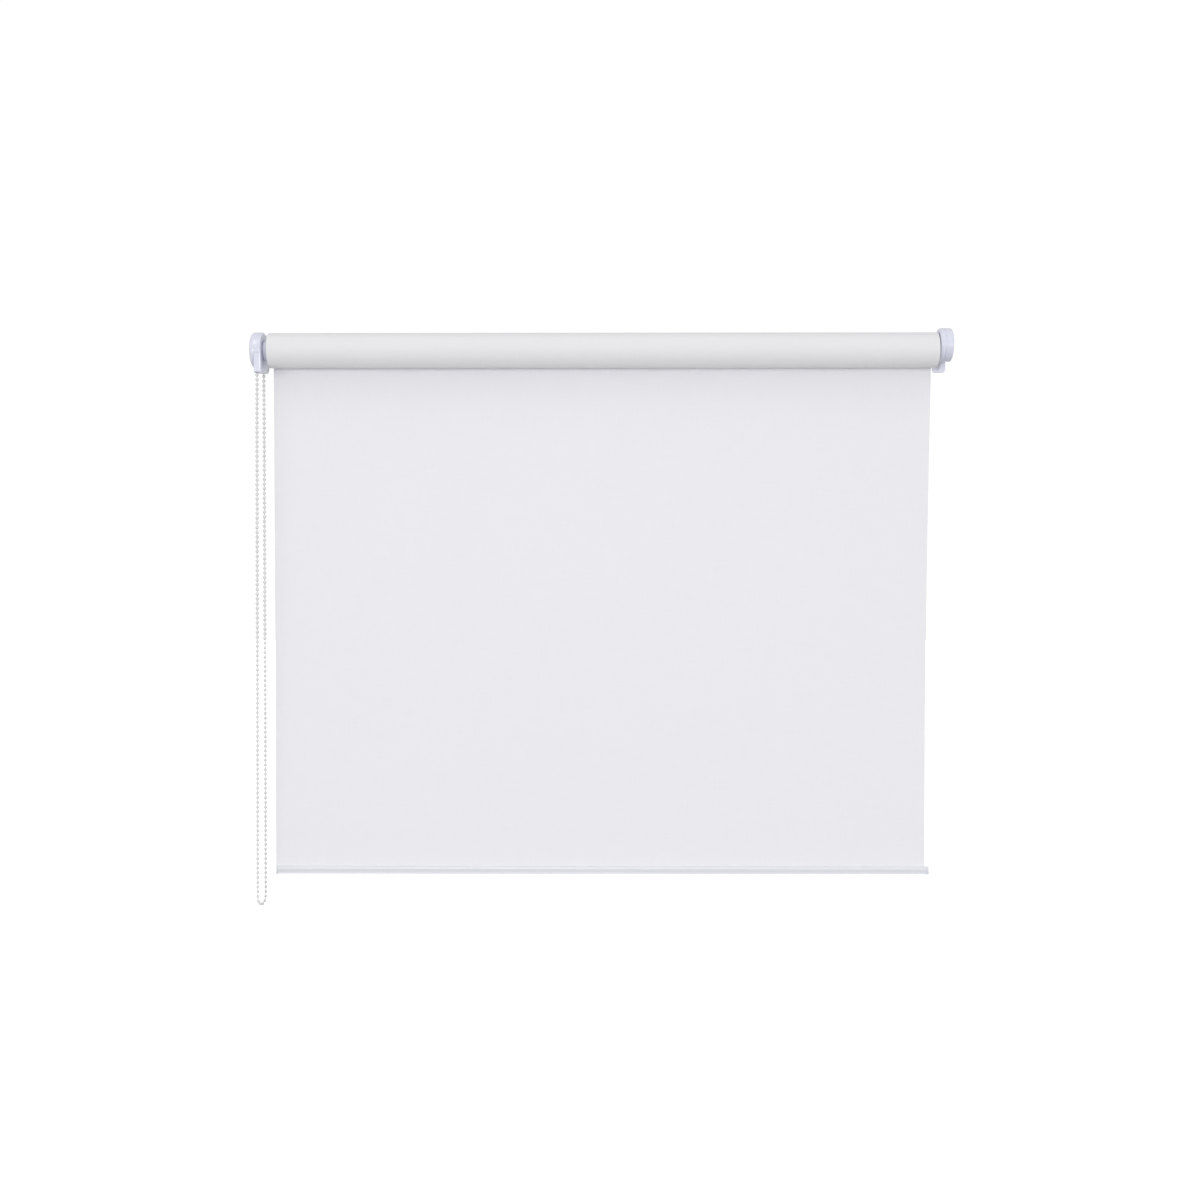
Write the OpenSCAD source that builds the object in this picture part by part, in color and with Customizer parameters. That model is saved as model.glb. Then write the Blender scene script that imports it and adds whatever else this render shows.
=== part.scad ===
// Chain-operated roller blind, in millimetres.
// X runs along the roller, -Y faces the room, the wall is the plane Y = 0, and +Z is up.
// The origin is the middle of the four wall screw holes, level with the roller's axis.

/* [Cloth] */
// Half the width of the wound cloth
cloth_half = 422; // [300:1:600]
// Outer radius of the wound cloth
roll_r = 22.4; // [19:0.1:24]
// Thickness of the cloth
cloth_t = 0.55; // [0.3:0.05:0.8]
// Height of the rail's lower edge below the roller's axis
drop = 669.5; // [400:0.1:670]
// How far the right edge draws in at the rail
neck_right = 7; // [0:0.5:10]
// How far the left edge draws in at the rail
neck_left = 1.5; // [0:0.5:5]

/* [Roller] */
// Distance from the wall to the roller's axis
axis_out = 30; // [27:0.5:40]
// Outer radius of the tube
tube_r = 14; // [13:0.5:16]
// Wall of the tube
tube_wall = 1.2; // [0.8:0.1:1.6]
// How far the tube stands out of the wound cloth at each end
tube_proud = 1; // [0:0.5:3]

/* [Chain] */
// Distance between beads
bead_pitch = 6; // [6:0.5:6]
// Radius of a bead
bead_r = 2.25; // [2:0.05:2.25]
// Radius of the thread between the beads
thread_r = 0.55; // [0.4:0.05:0.7]
// Number of pockets on the wheel
pockets = 19; // [19:2:19]
// Sides of the tube that stands for the loose loop
chain_sides = 8; // [8:1:12]

/* [Brackets] */
// Distance between the two brackets' screw columns
screw_span = 873; // [873:1:873]
// Distance between the upper and lower screw holes
screw_rise = 16; // [14:1:32]
// Radius of a screw hole
screw_hole_r = 2.25; // [2:0.05:2.5]
// Width of a wall flange
flange_w = 17; // [17:0.5:18]
// Height of a wall flange
flange_h = 49; // [45:1:52]
// Thickness of a wall flange
flange_t = 2.5; // [2:0.1:3]
// Thickness of a side arm
arm_t = 1.8; // [1.5:0.1:2]
// Radius of the left cover
cover_r = 23; // [22.5:0.5:24]
// Rounding of the left cover's outer edge
cover_round = 6; // [3:0.5:6]
// Wall of the plastic covers
cover_wall = 1.5; // [1.2:0.1:1.8]
// Radius of the right cap
cap_r = 21; // [20:0.5:22]
// Height of the right cap's centre over the roller's axis
cap_up = 6.4; // [4:0.1:9]

/* [Bottom rail] */
// Height of the rail
rail_h = 10; // [9:0.5:12]
// Depth of the rail
rail_d = 9; // [8:0.5:10]
// Half the rail's length over its end caps
rail_half = 420; // [300:1:600]
// Wall of the rail
rail_wall = 1.1; // [0.9:0.1:1.3]

/* [Hidden] */
$fn = 64;

axis_y = -axis_out;
tube_in = tube_r - tube_wall;
tube_half = cloth_half + tube_proud;
running = 0.05;                      // radial clearance of a turning or sliding fit
pitch_r = bead_pitch / 2 / sin(180 / pockets);

// Left end, from outside inwards
cover_x = -443.5;                    // outer face of the cover
arm_x = cover_x + cover_wall + 0.2;  // outer face of the bracket's arm
hub_x = arm_x + arm_t;               // back of the hub's flange
wheel_x0 = -436.8;
wheel_x1 = -430.3;
chain_x = (wheel_x0 + wheel_x1) / 2;
guard_x = -430;                      // where the guard's disc begins
guard_t = 1.5;
guard_edge = 4;                         // rounding of the guard's rim
cover_end = guard_x + guard_t - guard_edge;
neck_r = 9;
hub_r = 6.5;
hub_end = -395;
collar_x0 = -403;                    // the sleeve's collar that runs on the hub
collar_x1 = -399;
skirt_half = 22;                     // half depth of the guard's skirt
skirt_z = -26;                       // lower end of the skirt's hollow, less its floor
skirt_front = -31;                   // lower edge at the front
skirt_back = -26.5;                  // lower edge at the wall

// Right end
plate_x = 430.5;                     // inner face of the right bracket's arm
plate_r = cap_r - 1.6;               // the arm's round end, inside the cap
cap_front = 425;                     // the cap's face towards the roller
cap_x = 441.4;                       // outer face of the cap
pin_r = 3;
pin_tip = 436;
shoulder_r = 6;
plug_x0 = 384;
shoulder_x = 418;                    // where the pin's shoulder rests

panel_y = axis_y + roll_r + 0.3;     // front face of the hanging cloth
rail_y = panel_y + cloth_t / 2;
rail_z = -drop + rail_h / 2;
spline_r = 1.6;
spline_z = -drop + 5;

white_plastic = [0.84, 0.85, 0.92];
white_metal = [0.9, 0.9, 0.91];
cloth = [0.9, 0.9, 0.91];
steel = [0.7, 0.71, 0.73];

// Points of an arc in the plane
function arc(cx, cy, r, a0, a1, n = 8) =
    [for (i = [0:n]) [cx + r * cos(a0 + (a1 - a0) * i / n), cy + r * sin(a0 + (a1 - a0) * i / n)]];

// A shape whose own Z axis becomes +X, set on the roller's axis at x
module on_axis(x) {
    translate([x, axis_y, 0]) rotate([0, 90, 0]) children();
}

module disc(x0, x1, r) {
    on_axis(x0) cylinder(r = r, h = x1 - x0);
}

module ring(x0, x1, r_in, r_out) {
    difference() {
        disc(x0, x1, r_out);
        disc(x0 - 1, x1 + 1, r_in);
    }
}

// Part of a ring, from angle a0 over a degrees
module ring_part(x0, x1, r_in, r_out, a0, a) {
    on_axis(x0) rotate([0, 0, a0]) rotate_extrude(angle = a)
        translate([r_in, 0]) square([r_out - r_in, x1 - x0]);
}

module box(lo, hi) {
    translate(lo) cube(hi - lo);
}

// A flat plate in the YZ plane, from outline points [y, z]
module side_plate(x0, t, points) {
    translate([x0, 0, 0]) rotate([90, 0, 90]) linear_extrude(t) polygon(points);
}

// Two screw holes through a wall flange
module screw_holes(side) {
    for (dz = [-1, 1])
        translate([side * screw_span / 2, 1, dz * screw_rise / 2]) rotate([90, 0, 0])
            cylinder(r = screw_hole_r, h = flange_t + 2);
}

// A wall flange with rounded corners
module wall_flange(x0) {
    r = 4;
    hull()
        for (dx = [r, flange_w - r], dz = [-1, 1])
            translate([x0 + dx, 0, dz * (flange_h / 2 - r)]) rotate([90, 0, 0])
                cylinder(r = r, h = flange_t, $fn = 32);
}

module left_bracket() {
    reach = 16;
    color(white_metal) difference() {
        union() {
            wall_flange(-446);
            disc(arm_x, hub_x, reach);
            side_plate(arm_x, arm_t, [[axis_y, -reach], [-1, -reach - 4], [-1, reach + 4], [axis_y, reach]]);
        }
        screw_holes(-1);
        on_axis(arm_x - 0.01) cylinder(r1 = 3.9, r2 = 2.1, h = arm_t);
        disc(arm_x - 1, hub_x + 1, 2.1);
        for (s = [-1, 1]) translate([0, 0, s * 10]) disc(arm_x - 1, hub_x + 1, 1.8);
    }
}

module clutch_hub() {
    peg_in = 1.5;
    color(white_plastic) difference() {
        union() {
            disc(hub_x, -437.2, 15);
            disc(-437.3, hub_end, hub_r);
            for (s = [-1, 1]) translate([0, 0, s * 10]) disc(hub_x - peg_in, hub_x + 0.5, 1.7);
        }
        disc(hub_x - 1, -415, 1.6);
        disc(-410, hub_end + 1, 4);
        ring(-398.7, -397.5, 5.6, 8);
    }
}

module hub_screw() {
    color(steel) difference() {
        union() {
            on_axis(arm_x) cylinder(r1 = 3.8, r2 = 1.6, h = arm_t);
            disc(arm_x + arm_t - 0.1, -420, 1.6);
        }
        for (a = [0, 90]) on_axis(arm_x) rotate([0, 0, a]) translate([-2.2, -0.45, -1]) cube([4.4, 0.9, 1.9]);
    }
}

module hub_clip() {
    color(steel) difference() {
        ring(-398.6, -397.6, 5.65, 8.6);
        box([-399, axis_y - 4.5, -10], [-397, axis_y + 4.5, 0]);
    }
}

// The skirt's outline, less the wheel's room
module skirt_block(grow = 0) {
    box([-437 - grow, axis_y - skirt_half - grow, skirt_z - (grow > 0 ? 9 : 0)],
        [guard_x, axis_y + skirt_half + grow, -5 + grow]);
}

module chain_cover() {
    rr = cover_round;
    w = cover_wall;
    length = cover_end - cover_x;
    profile = concat([[0, 0]], arc(cover_r - rr, rr, rr, -90, 0), [[cover_r, length], [cover_r - w, length]],
        arc(cover_r - rr, rr, rr - w, 0, -90), [[0, w]]);
    color(white_plastic) difference() {
        union() {
            on_axis(cover_x) rotate_extrude($fn = 96) polygon(profile);
            // bosses that hold the cover to the arm
            for (s = [-1, 1]) translate([0, 0, s * 13]) disc(cover_x + 1, arm_x, 1.6);
        }
        skirt_block(0.2);
        // way in for the arm
        box([arm_x - 0.2, axis_y + 8, -18.6], [hub_x + 0.2, 0, 18.6]);
    }
}

module chain_guard() {
    low = guard_t - guard_edge;
    profile = concat([[neck_r + 0.6, 0], [20.9, 0], [20.9, low], [cover_r, low]],
        arc(cover_r - guard_edge, low, guard_edge, 0, 90), [[neck_r + 0.6, guard_t]]);
    color(white_plastic) difference() {
        union() {
            on_axis(guard_x) rotate_extrude($fn = 96) polygon(profile);
            // the skirt, whose floor rises towards the wall
            translate([-437, 0, 0]) rotate([90, 0, 90]) linear_extrude(437 + guard_x + guard_t)
                polygon([[axis_y - skirt_half, skirt_front], [axis_y + skirt_half, skirt_back],
                    [axis_y + skirt_half, -5], [axis_y - skirt_half, -5]]);
            // snap rim inside the cover
            ring(cover_end - 2.5, cover_end + 0.1, 20.9, 21.3);
        }
        disc(-438, guard_x, 20.9);
        disc(guard_x - 1, guard_x + 3, neck_r + 0.6);
        // hollow of the skirt, over its floor
        difference() {
            box([-436, axis_y - skirt_half + 1, skirt_z + 1.5], [guard_x, axis_y + skirt_half - 1, 0]);
            for (s = [-1, 1]) translate([0, s * 14.4, 0])
                box([-437, axis_y - 0.5, skirt_z], [guard_x, axis_y + 0.5, -16]);
        }
        for (s = [-1, 1]) translate([chain_x, axis_y + s * pitch_r, skirt_front - 1]) cylinder(r = 2.8, h = 9);
    }
}

// A bead at its place around the wheel
module around(k) {
    a = k * 360 / pockets;
    translate([chain_x, axis_y + pitch_r * cos(a), pitch_r * sin(a)]) children();
}

module chain_wheel() {
    pocket_half = bead_r + 0.2;
    color(white_plastic) difference() {
        union() {
            // the two flanges
            disc(wheel_x0, chain_x - pocket_half, 18.4);
            disc(chain_x + pocket_half, wheel_x1, 18.4);
            // the toothed disc that carries the beads
            translate([chain_x - pocket_half, axis_y, 0]) rotate([90, 0, 90]) linear_extrude(2 * pocket_half)
                difference() {
                    circle(r = 19);
                    for (k = [0:pockets - 1]) rotate(k * 360 / pockets) translate([pitch_r, 0]) circle(r = bead_r + 0.2);
                }
            disc(wheel_x1 - 0.1, -428, neck_r);
            disc(-428.1, -424, 13);
            ring_part(-424.1, -405, 8.4, 9.5, 15, 150);
        }
        ring(chain_x - 0.9, chain_x + 0.9, pitch_r - 1.2, 20);
        disc(wheel_x0 - 1, -400, hub_r + running);
        // lightening recess
        ring(wheel_x0 - 0.1, wheel_x0 + 1.2, 9, 14);
    }
}

// A wire coil around the roller's axis, as one closed skin
module coil(x0, length, r, wire_r, turns, steps = 20, sides = 6) {
    n = turns * steps;
    skin([for (i = [0:n]) let (a = 360 * i / steps) [for (j = [0:sides - 1]) let (
        q = r + wire_r * cos(360 * j / sides),
        x = x0 + wire_r + (length - 2 * wire_r) * i / n + wire_r * sin(360 * j / sides))
        [x, axis_y + q * cos(a), q * sin(a)]]]);
}

module brake_spring(x0) {
    color(steel) coil(x0, 8, 7.45, 0.6, 6);
}

module brake_spring_outer() {
    brake_spring(-422.5);
}

module brake_spring_inner() {
    brake_spring(-412.5);
}

module drive_sleeve() {
    color(white_plastic) difference() {
        union() {
            ring(-tube_half, collar_x1, 10, tube_in);
            ring(-tube_half - 1, -tube_half, 10, tube_r - 0.1);
            ring(collar_x0, collar_x1, hub_r + running, 10.1);
            ring_part(-422.8, collar_x0 + 0.1, 8.4, 10.1, 190, 130);
        }
        for (a = [0:60:300])
            on_axis(-tube_half + 6) rotate([0, 0, a]) translate([tube_in - 0.6, -1.5, 0]) cube([2, 3, 40]);
    }
}

// The closed skin of a tube: rings of points, all with the same number of sides
module skin(rings) {
    sides = len(rings[0]);
    n = len(rings) - 1;
    faces = concat(
        [[for (j = [sides - 1:-1:0]) j]],
        [for (i = [0:n - 1], j = [0:sides - 1]) let (k = (j + 1) % sides)
            [i * sides + j, i * sides + k, (i + 1) * sides + k, (i + 1) * sides + j]],
        [[for (j = [0:sides - 1]) n * sides + j]]);
    polyhedron([for (ring = rings) each ring], faces);
}

// The chain's line over the wheel: up the back, over the top, down the front, by distance s
over_length = PI * pitch_r;
back_end = 4.5 * bead_pitch;         // the wrap ends between two beads at each side
front_end = 4 * bead_pitch;
function over_angle(s) = 180 * min(max(s / over_length, 0), 1);
function over_point(s) = let (a = over_angle(s))
    [chain_x, axis_y + pitch_r * cos(a), pitch_r * sin(a) + min(s, 0) + min(over_length - s, 0)];
function over_ring(s, r) = let (a = over_angle(s))
    [for (j = [0:7]) over_point(s) + r * [cos(45 * j), sin(45 * j) * cos(a), sin(45 * j) * sin(a)]];

module chain_wrap() {
    beads = concat([for (i = [4:-1:1]) -i * bead_pitch], [for (k = [0:9]) k * over_length * 2 / pockets],
        [for (i = [0:3]) over_length + (i + 0.5) * bead_pitch]);
    tip = sqrt(bead_r * bead_r - thread_r * thread_r);
    color(white_plastic) skin(concat(
        [over_ring(-back_end, thread_r)],
        [for (b = beads, o = [-tip, -0.8 * bead_r, -0.45 * bead_r, 0, 0.45 * bead_r, 0.8 * bead_r, tip])
            over_ring(b + o, sqrt(bead_r * bead_r - o * o))],
        [over_ring(over_length + front_end, thread_r)]));
}

// Route of the loose loop: half gap across, half gap in depth, height
loop_route = [
    [0, 18.2, -40], [0.3, 17.8, -70], [0.7, 16.6, -140], [1.1, 15.2, -220], [1.5, 13.8, -300], [1.9, 12.5, -380],
    [2.3, 11.2, -460], [2.6, 10, -540], [2.9, 9, -610], [3.1, 8.4, -655], [3.2, 8.1, -678], [3.2, 8, -689],
    [3.1, 7.9, -696], [2.5, 6.4, -700.4], [1.4, 3.5, -703.2], [0, 0, -704.2]];
loop_last = len(loop_route) - 1;
loop_points = concat(
    [[chain_x, axis_y - pitch_r, -front_end]],
    [for (p = loop_route) [chain_x - p[0], axis_y - p[1], p[2]]],
    [for (i = [loop_last - 1:-1:0]) let (p = loop_route[i]) [chain_x + p[0], axis_y + p[1], p[2]]],
    [[chain_x, axis_y + pitch_r, -back_end]]);

// A smooth curve through the points, with some steps between each pair
function between(a, b, c, d, t) =
    0.5 * (2 * b + (c - a) * t + (2 * a - 5 * b + 4 * c - d) * t * t + (3 * b - a - 3 * c + d) * t * t * t);
function steps_in(a, b) = max(1, round(norm(b - a) / 18));
function smooth(p) = concat(
    [for (i = [0:len(p) - 2]) let (n = steps_in(p[i], p[i + 1]))
        each [for (s = [0:n - 1]) between(p[max(i - 1, 0)], p[i], p[i + 1], p[min(i + 2, len(p) - 1)], s / n)]],
    [p[len(p) - 1]]);
function unit(v) = v / norm(v);

module chain() {
    path = smooth(loop_points);
    n = len(path) - 1;
    ways = [for (i = [0:n]) i == 0 || i == n ? [0, 0, i == 0 ? -1 : 1]
        : unit(path[min(i + 1, n)] - path[max(i - 1, 0)])];
    color(white_plastic) skin([for (i = [0:n]) let (
        side = unit(cross([0, 1, 0], ways[i])),
        up = cross(ways[i], side))
        [for (j = [0:chain_sides - 1]) path[i]
            + bead_r * (cos(360 * j / chain_sides) * side + sin(360 * j / chain_sides) * up)]]);
}

module tube() {
    color("silver") ring(-tube_half, tube_half, tube_in, tube_r);
}

module tape_shape() {
    ring_part(-cloth_half + 2, cloth_half - 2, tube_r, tube_r + 0.3, 60, 40);
}

module fabric_tape() {
    color("khaki") tape_shape();
}

module fabric_roll() {
    color(cloth) difference() {
        ring(-cloth_half, cloth_half, tube_r, roll_r);
        tape_shape();
    }
}

module fabric_panel() {
    foot = spline_z + 0.4;
    n = 12;
    edge = [for (i = [0:n]) let (t = i / n) [cloth_half - neck_right * (1 - (1 - t) * (1 - t)), foot * t]];
    color(cloth) translate([0, panel_y + cloth_t, 0]) rotate([90, 0, 0]) linear_extrude(cloth_t)
        polygon(concat([[-cloth_half, 0]], edge, [[-cloth_half + neck_left, foot]]));
}

module end_plug() {
    color(white_plastic) difference() {
        union() {
            disc(plug_x0, tube_half, tube_in);
            disc(tube_half, tube_half + 1.2, tube_r - 0.1);
        }
        disc(plug_x0 - 1, shoulder_x, shoulder_r);
        disc(shoulder_x - 1, tube_half + 3, pin_r + running);
        for (a = [0:60:300])
            on_axis(plug_x0 - 1) rotate([0, 0, a]) translate([tube_in - 0.6, -1.5, 0]) cube([2, 3, 33]);
    }
}

module spring_seat() {
    color(white_plastic) {
        disc(plug_x0, plug_x0 + 4, shoulder_r);
        disc(plug_x0 - 1.5, plug_x0, 8);
    }
}

module pin_spring() {
    seat = plug_x0 + 4;
    color(steel) coil(seat, shoulder_x - 3 - seat, 4.6, 0.45, 9);
}

module idle_pin() {
    color(steel) {
        disc(shoulder_x - 3, shoulder_x, shoulder_r - running);
        disc(shoulder_x - 18, pin_tip - 1, pin_r);
        on_axis(pin_tip - 1) cylinder(r1 = pin_r, r2 = pin_r - 0.8, h = 1);
    }
}

module pin_bush() {
    color(white_plastic) difference() {
        union() {
            disc(plate_x - 1.2, plate_x, 7);
            disc(plate_x - 0.1, pin_tip + 2, 5);
        }
        disc(plate_x - 2, pin_tip + 1, pin_r + running);
    }
}

module right_bracket() {
    foot = flange_h / 2 - 2;
    color(white_metal) difference() {
        union() {
            wall_flange(424);
            translate([0, 0, cap_up]) disc(plate_x, plate_x + 2, plate_r);
            side_plate(plate_x, 2, [[axis_y + 6, -12.8], [-1, -foot], [-1, foot], [axis_y, cap_up + cap_r - 2],
                [axis_y - 10, 0]]);
        }
        screw_holes(1);
        disc(plate_x - 1, plate_x + 3, 5);
    }
}

module right_cover() {
    x0 = plate_x + 2;
    length = cap_x - cap_front;
    front = 3;
    edge = 1.5;
    w = cover_wall;
    mouth = 12;                      // clear of the idle pin
    profile = concat([[mouth, 0]], arc(cap_r - front, front, front, -90, 0),
        arc(cap_r - edge, length - edge, edge, 0, 90),
        [[0, length], [0, length - w], [cap_r - w, length - w], [cap_r - w, w], [mouth, w]]);
    color(white_plastic) union() {
        difference() {
            translate([0, 0, cap_up]) on_axis(cap_front) rotate_extrude($fn = 96) polygon(profile);
            // way in for the arm
            box([plate_x - 0.1, axis_y + 2, -30], [x0 + 0.1, 1, 40]);
        }
        // snap posts on the plate
        for (s = [-1, 1]) translate([0, s * 12, cap_up + 6]) disc(x0, cap_x - 1, 1.6);
    }
}

// The rail's outline, [y, z] from its middle: an upright oval cut flat on top
function rail_outline(shrink) = [for (i = [0:35]) let (
    a = 10 * i,
    b = rail_h / 2 - shrink,
    c = rail_d / 2 - shrink)
    [c * sign(cos(a)) * pow(abs(cos(a)), 0.75), b * sign(sin(a)) * pow(abs(sin(a)), 0.75)]];

module rail_shape(x0, x1, shrink = 0) {
    translate([x0, rail_y, rail_z]) rotate([90, 0, 90]) linear_extrude(x1 - x0) polygon(rail_outline(shrink));
}

module bottom_rail() {
    half = rail_half - 2;
    web = 1.1;                       // wall around the spline's channel
    color(white_metal) difference() {
        union() {
            difference() {
                rail_shape(-half, half);
                rail_shape(-half - 1, half + 1, rail_wall);
            }
            intersection() {
                rail_shape(-half, half);
                translate([-half, rail_y, spline_z]) rotate([0, 90, 0])
                    cylinder(r = spline_r + 0.3 + web, h = 2 * half);
            }
            intersection() {
                rail_shape(-half, half);
                box([-half, rail_y - 2, spline_z], [half, rail_y + 2, 0]);
            }
        }
        translate([-half - 1, rail_y, spline_z]) rotate([0, 90, 0]) cylinder(r = spline_r + 0.3, h = 2 * half + 2);
        box([-half - 1, rail_y - 0.6, spline_z], [half + 1, rail_y + 0.6, 0]);
    }
}

module hem_spline() {
    half = rail_half - 5;
    color("white") difference() {
        translate([-half, rail_y, spline_z]) rotate([0, 90, 0]) cylinder(r = spline_r, h = 2 * half, $fn = 32);
        box([-half - 1, rail_y - 0.45, spline_z], [half + 1, rail_y + 0.45, 0]);
    }
}

module rail_cap(side) {
    x0 = side > 0 ? rail_half - 2 : -rail_half;
    plug_x = side > 0 ? rail_half - 12 : -rail_half + 2;
    color(white_plastic) difference() {
        union() {
            rail_shape(x0, x0 + 2);
            // two legs that grip inside the hollow
            for (s = [-1, 1]) intersection() {
                rail_shape(plug_x, plug_x + 10, rail_wall + 0.05);
                box([plug_x, rail_y + s * 3 - 0.35, -drop], [plug_x + 10, rail_y + s * 3 + 0.35, -drop + rail_h]);
            }
        }
        // the cloth's edge runs out through the cap
        box([x0 - 1, rail_y - 0.6, spline_z], [x0 + 3, rail_y + 0.6, 0]);
    }
}

module rail_cap_left() {
    rail_cap(-1);
}

module rail_cap_right() {
    rail_cap(1);
}

left_bracket();
clutch_hub();
hub_screw();
hub_clip();
chain_cover();
chain_guard();
chain_wheel();
brake_spring_outer();
brake_spring_inner();
drive_sleeve();
chain_wrap();
chain();
tube();
fabric_tape();
fabric_roll();
fabric_panel();
end_plug();
spring_seat();
pin_spring();
idle_pin();
pin_bush();
right_bracket();
right_cover();
bottom_rail();
hem_spline();
rail_cap_left();
rail_cap_right();
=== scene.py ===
# Chain-operated roller blind. Metres, +Z up, the wall is y = 0 and the room is towards -y.
import math
import bmesh
import bpy
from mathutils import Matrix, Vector


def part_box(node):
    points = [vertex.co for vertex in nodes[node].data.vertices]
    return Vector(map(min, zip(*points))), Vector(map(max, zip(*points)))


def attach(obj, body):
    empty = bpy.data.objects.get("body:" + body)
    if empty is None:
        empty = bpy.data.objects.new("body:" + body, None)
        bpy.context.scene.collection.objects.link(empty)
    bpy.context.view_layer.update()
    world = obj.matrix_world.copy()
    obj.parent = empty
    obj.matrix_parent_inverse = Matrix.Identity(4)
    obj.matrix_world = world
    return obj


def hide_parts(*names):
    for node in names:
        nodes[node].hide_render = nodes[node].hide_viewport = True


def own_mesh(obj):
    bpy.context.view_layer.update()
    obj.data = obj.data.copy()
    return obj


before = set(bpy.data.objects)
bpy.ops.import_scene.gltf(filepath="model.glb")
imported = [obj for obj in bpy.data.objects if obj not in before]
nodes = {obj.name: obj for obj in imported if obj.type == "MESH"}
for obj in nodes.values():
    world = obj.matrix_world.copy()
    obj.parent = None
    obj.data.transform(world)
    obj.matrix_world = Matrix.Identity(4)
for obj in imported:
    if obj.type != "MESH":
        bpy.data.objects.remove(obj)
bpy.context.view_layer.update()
scene = bpy.context.scene
scene.view_settings.view_transform = "Standard"
mm = 0.001

rollLow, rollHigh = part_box("fabric_roll")
rollHalf = rollHigh[0]                      # the wound cloth reaches this far each way
rollRadius = (rollHigh[2] - rollLow[2]) / 2
axisY = (rollHigh[1] + rollLow[1]) / 2      # the roller's axis is z = 0
tubeRadius = (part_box("tube")[1][2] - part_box("tube")[0][2]) / 2


# mesh helpers

def meshObject(name, points, faces, uvs=None, edges=()):
    mesh = bpy.data.meshes.new(name)
    mesh.from_pydata([tuple(p) for p in points], edges, faces)
    if uvs:
        layer = mesh.uv_layers.new(name="UVMap")
        for loop in mesh.loops:
            layer.data[loop.index].uv = uvs[loop.vertex_index]
    obj = bpy.data.objects.new(name, mesh)
    scene.collection.objects.link(obj)
    return obj


def settle(obj):
    graph = bpy.context.evaluated_depsgraph_get()
    mesh = bpy.data.meshes.new_from_object(obj.evaluated_get(graph), depsgraph=graph)
    obj.modifiers.clear()
    obj.data = mesh
    return obj


def closeMesh(obj, gap=1e-7):
    work = bmesh.new()
    work.from_mesh(obj.data)
    bmesh.ops.remove_doubles(work, verts=work.verts, dist=gap)
    bmesh.ops.recalc_face_normals(work, faces=work.faces)
    work.to_mesh(obj.data)
    work.free()
    return obj


def faceOut(obj):
    work = bmesh.new()
    work.from_mesh(obj.data)
    bmesh.ops.recalc_face_normals(work, faces=work.faces)
    work.to_mesh(obj.data)
    work.free()
    return obj


def smoothShade(obj, degrees=35):
    for face in obj.data.polygons:
        face.use_smooth = True
    work = bmesh.new()
    work.from_mesh(obj.data)
    for edge in work.edges:
        if len(edge.link_faces) == 2:
            edge.smooth = edge.calc_face_angle(0) < math.radians(degrees)
    work.to_mesh(obj.data)
    work.free()
    return obj


def roundCorners(points, radii, count=5):
    # an outline with true arcs at its corners; one radius, or one for each corner
    result = []
    total = len(points)
    for i, here in enumerate(points):
        radius = radii[i] if hasattr(radii, "__len__") else radii
        here = Vector(here)
        before = Vector(points[i - 1]) - here
        after = Vector(points[(i + 1) % total]) - here
        if radius <= 0 or before.length < 1e-9 or after.length < 1e-9:
            result.append(tuple(here))
            continue
        half = before.angle(after) / 2
        reach = min(radius / math.tan(half), 0.49 * before.length, 0.49 * after.length)
        first = here + before.normalized() * reach
        last = here + after.normalized() * reach
        weight = math.sin(half)
        for step in range(count + 1):
            s = step / count
            a, b, c = (1 - s) ** 2, 2 * s * (1 - s) * weight, s * s
            result.append(tuple((first * a + here * b + last * c) / (a + b + c)))
    return result


def lathe(name, profile, height=0.0, steps=128):
    # profile holds (radius, x) points of a closed outline, turned about the line y = axisY, z = height
    points, rows = [], []
    for radius, x in profile:
        if radius < 1e-7:
            rows.append([len(points)] * steps)
            points.append((x, axisY, height))
        else:
            rows.append(list(range(len(points), len(points) + steps)))
            for k in range(steps):
                a = 2 * math.pi * k / steps
                points.append((x, axisY + radius * math.cos(a), height + radius * math.sin(a)))
    faces = []
    for i, row in enumerate(rows):
        other = rows[(i + 1) % len(rows)]
        for k in range(steps):
            n = (k + 1) % steps
            face = [row[k], row[n], other[n], other[k]]
            face = [v for j, v in enumerate(face) if v not in face[:j]]
            if len(face) > 2:
                faces.append(face)
    return smoothShade(closeMesh(meshObject(name, points, faces)))


def prism(name, outline, low, high, along="x"):
    # outline is (y, z) along x, (x, z) along y, or (x, y) along z
    lay = {"x": lambda p, t: (t, p[0], p[1]), "y": lambda p, t: (p[0], t, p[1]),
           "z": lambda p, t: (p[0], p[1], t)}
    count = len(outline)
    points = [lay[along](p, t) for t in (low, high) for p in outline]
    faces = [[i, (i + 1) % count, count + (i + 1) % count, count + i] for i in range(count)]
    faces += [list(range(count)), list(range(count, 2 * count))]
    return closeMesh(meshObject(name, points, faces))


def block(low, high):
    corners = [(low[0], low[1]), (high[0], low[1]), (high[0], high[1]), (low[0], high[1])]
    return prism("cutter", corners, low[2], high[2], "z")


def circle(middle, radius, steps):
    turns = [2 * math.pi * k / steps for k in range(steps)]
    return [(middle[0] + radius * math.cos(a), middle[1] + radius * math.sin(a)) for a in turns]


def roundBar(x0, x1, radius, steps=48):
    return prism("cutter", circle((axisY, 0.0), radius, steps), x0, x1)


def combine(obj, others, operation):
    for other in others:
        change = obj.modifiers.new("combine", "BOOLEAN")
        change.operation = operation
        change.solver = "EXACT"
        change.object = other
        settle(obj)
        bpy.data.objects.remove(other)
    return obj


def cut(obj, *others):
    return combine(obj, others, "DIFFERENCE")


def unite(obj, *others):
    return combine(obj, others, "UNION")


def softenEdges(obj, width, segments=3, degrees=40):
    closeMesh(obj, 1e-6)
    bevel = obj.modifiers.new("edges", "BEVEL")
    bevel.width = width
    bevel.segments = segments
    bevel.limit_method = "ANGLE"
    bevel.angle_limit = math.radians(degrees)
    bevel.use_clamp_overlap = True
    return smoothShade(settle(obj), degrees)


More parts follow.
